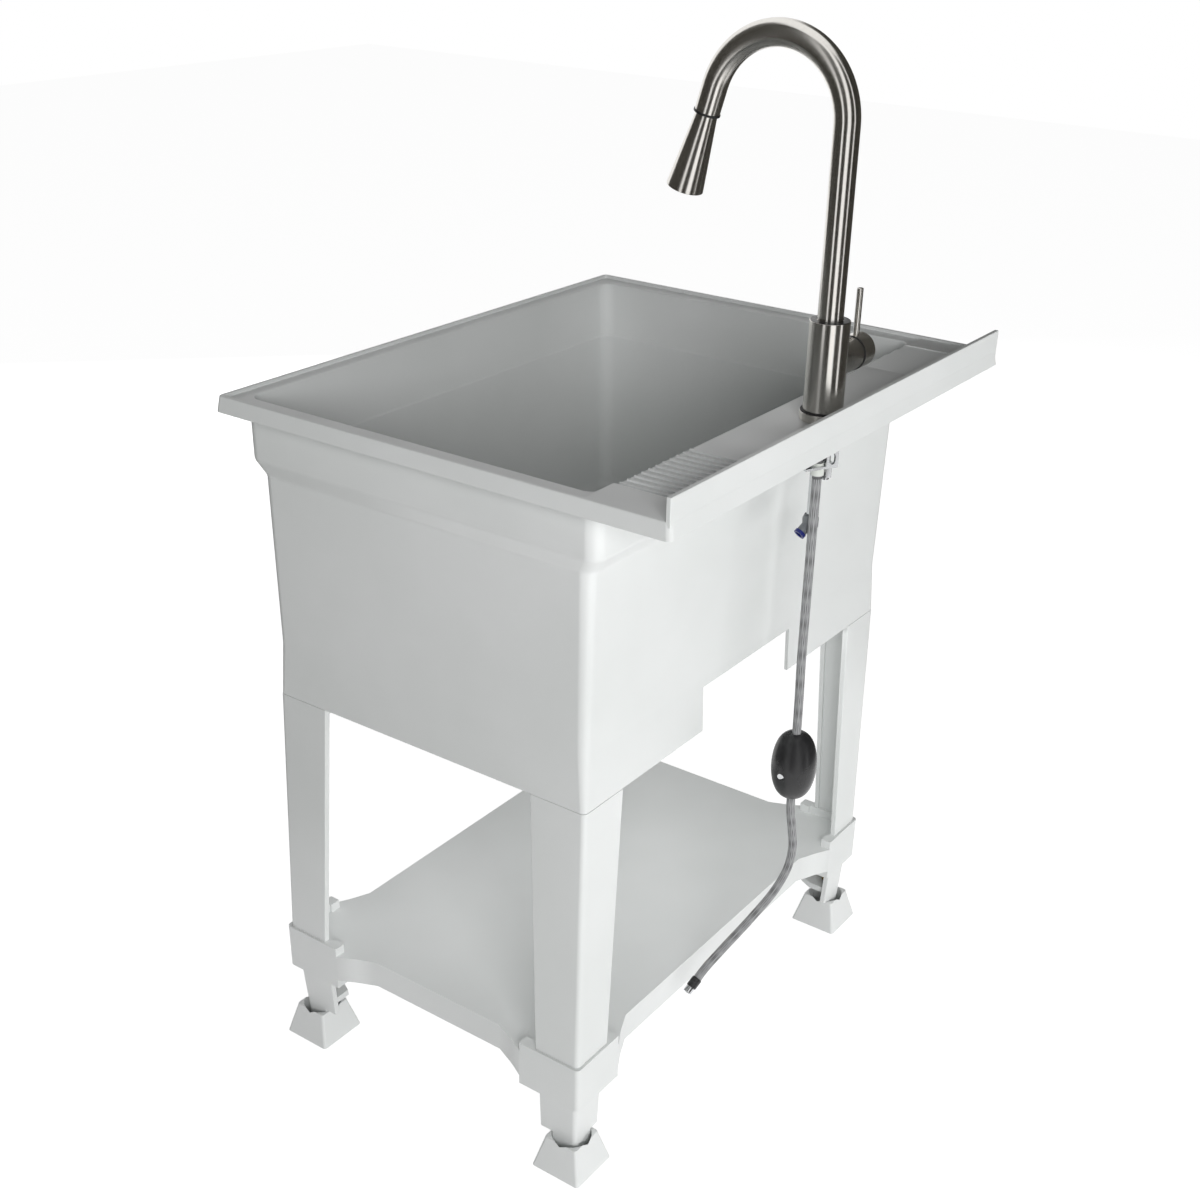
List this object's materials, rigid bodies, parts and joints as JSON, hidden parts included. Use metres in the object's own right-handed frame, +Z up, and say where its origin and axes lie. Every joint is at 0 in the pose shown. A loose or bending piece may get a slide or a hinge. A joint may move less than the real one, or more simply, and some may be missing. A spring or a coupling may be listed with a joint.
{
  "type": "utility laundry sink",
  "caption": "Free-standing moulded laundry tub on angle legs with a lower shelf, adjustable feet and a tall pull-down spray faucet.",
  "frame": {"origin": "on the floor under the middle of the rim", "axes": "+Z up, -Y towards the user, +Y towards the wall and the splash, +X the user's right"},
  "size_m": [0.7106, 0.5862, 1.2503],
  "materials": {
    "white_plastic": "satin moulded white",
    "brushed_steel": "fine brushed, warm",
    "bright_steel": "bright",
    "black_plastic": "satin",
    "black_rubber": "matt",
    "white_nylon": "matt",
    "grey_plastic": "matt",
    "blue_plastic": "matt",
    "braided_hose": "braided",
    "coated_iron": "black coated, satin with a glossier dome",
    "brass": "turned"
  },
  "bodies": {
    "stand": {"tub": "white_plastic", "shelf": "white_plastic", "leg_near_back": "white_plastic", "leg_near_front": "white_plastic", "leg_far_front": "white_plastic", "leg_far_back": "white_plastic", "foot_insert_near_back": "brass", "foot_insert_near_front": "brass", "foot_insert_far_front": "brass", "foot_insert_far_back": "brass", "drain_body": "bright_steel", "drain_gasket": "black_rubber", "drain_locknut": "white_nylon", "faucet_flange": "brushed_steel", "faucet_seal": "black_rubber", "faucet_body": "brushed_steel", "swivel_bush": "black_plastic", "lower_bush": "white_nylon", "cartridge": "white_nylon", "cartridge_nut": "brass", "bracket": "bright_steel", "bracket_gasket": "black_rubber", "hose_bush": "white_nylon", "faucet_stud": "bright_steel", "stud_nut": "bright_steel", "outlet_tube": "bright_steel", "outlet_fitting": "grey_plastic", "outlet_ring": "blue_plastic"},
    "spout": {"spout_tube": "brushed_steel", "spout_end_ring": "black_plastic", "hose_in_spout": "braided_hose", "hose_stub": "braided_hose"},
    "spray": {"spray_head": "brushed_steel", "spray_nozzle": "black_plastic"},
    "control_turn": {"cartridge_rotor": "white_nylon"},
    "control_tilt": {"lever_stem": "brass", "handle_cap": "brushed_steel", "lever_rod": "brushed_steel", "set_screw": "bright_steel"},
    "hose_run": {"hanging_hose": "braided_hose", "hose_sleeve": "black_rubber", "hose_ferrule": "bright_steel", "weight_half_front": "coated_iron", "weight_half_rear": "coated_iron", "weight_screw": "bright_steel"},
    "basket": {"drain_basket": "bright_steel"},
    "glide_near_back": {"foot_glide_near_back": "black_rubber"},
    "foot_near_back": {"foot_near_back": "white_plastic", "foot_screw_near_back": "bright_steel"},
    "glide_near_front": {"foot_glide_near_front": "black_rubber"},
    "foot_near_front": {"foot_near_front": "white_plastic", "foot_screw_near_front": "bright_steel"},
    "glide_far_front": {"foot_glide_far_front": "black_rubber"},
    "foot_far_front": {"foot_far_front": "white_plastic", "foot_screw_far_front": "bright_steel"},
    "glide_far_back": {"foot_glide_far_back": "black_rubber"},
    "foot_far_back": {"foot_far_back": "white_plastic", "foot_screw_far_back": "bright_steel"}
  },
  "joints": [
    {"name": "spout_swivel", "type": "hinge", "parent": "stand", "child": "spout", "pos_m": [0, 0.2475, 0.97], "axis": [0, 0, 1], "continuous": true},
    {"name": "spray_pull", "type": "slide", "parent": "spout", "child": "spray", "axis": [0, -0.2924, -0.9563], "range_m": [0, 0.17], "deforming": ["hose_stub"]},
    {"name": "lever_temperature", "type": "hinge", "parent": "stand", "child": "control_turn", "pos_m": [-0.033, 0.2475, 0.925], "axis": [1, 0, 0], "range_deg": [-45, 45]},
    {"name": "lever_flow", "type": "hinge", "parent": "control_turn", "child": "control_tilt", "pos_m": [-0.033, 0.2475, 0.925], "axis": [0, -1, 0], "range_deg": [0, 22]},
    {"name": "hose_rise", "type": "slide", "parent": "stand", "child": "hose_run", "axis": [0, 0, 1], "range_m": [0, 0.17], "deforming": ["hanging_hose"]},
    {"name": "basket_lift", "type": "slide", "parent": "stand", "child": "basket", "axis": [0, 0, 1], "range_m": [0, 0.06]},
    {"name": "foot_lift_near_back", "type": "slide", "parent": "stand", "child": "glide_near_back", "axis": [0, 0, -1], "range_m": [0, 0.012]},
    {"name": "foot_turn_near_back", "type": "hinge", "parent": "glide_near_back", "child": "foot_near_back", "pos_m": [0.3113, 0.1577, 0], "axis": [0, 0, -1], "range_deg": [0, 1080]},
    {"name": "foot_lift_near_front", "type": "slide", "parent": "stand", "child": "glide_near_front", "axis": [0, 0, -1], "range_m": [0, 0.012]},
    {"name": "foot_turn_near_front", "type": "hinge", "parent": "glide_near_front", "child": "foot_near_front", "pos_m": [0.3113, -0.2536, 0], "axis": [0, 0, -1], "range_deg": [0, 1080]},
    {"name": "foot_lift_far_front", "type": "slide", "parent": "stand", "child": "glide_far_front", "axis": [0, 0, -1], "range_m": [0, 0.012]},
    {"name": "foot_turn_far_front", "type": "hinge", "parent": "glide_far_front", "child": "foot_far_front", "pos_m": [-0.3113, -0.2536, 0], "axis": [0, 0, -1], "range_deg": [0, 1080]},
    {"name": "foot_lift_far_back", "type": "slide", "parent": "stand", "child": "glide_far_back", "axis": [0, 0, -1], "range_m": [0, 0.012]},
    {"name": "foot_turn_far_back", "type": "hinge", "parent": "glide_far_back", "child": "foot_far_back", "pos_m": [-0.3113, 0.1577, 0], "axis": [0, 0, -1], "range_deg": [0, 1080]}
  ],
  "couplings": [
    {"joint": "hose_rise", "follows": "spray_pull", "ratio": 1},
    {"joint": "foot_lift_near_back", "follows": "foot_turn_near_back", "m_per_rad": 0.00063662},
    {"joint": "foot_lift_near_front", "follows": "foot_turn_near_front", "m_per_rad": 0.00063662},
    {"joint": "foot_lift_far_front", "follows": "foot_turn_far_front", "m_per_rad": 0.00063662},
    {"joint": "foot_lift_far_back", "follows": "foot_turn_far_back", "m_per_rad": 0.00063662}
  ]
}
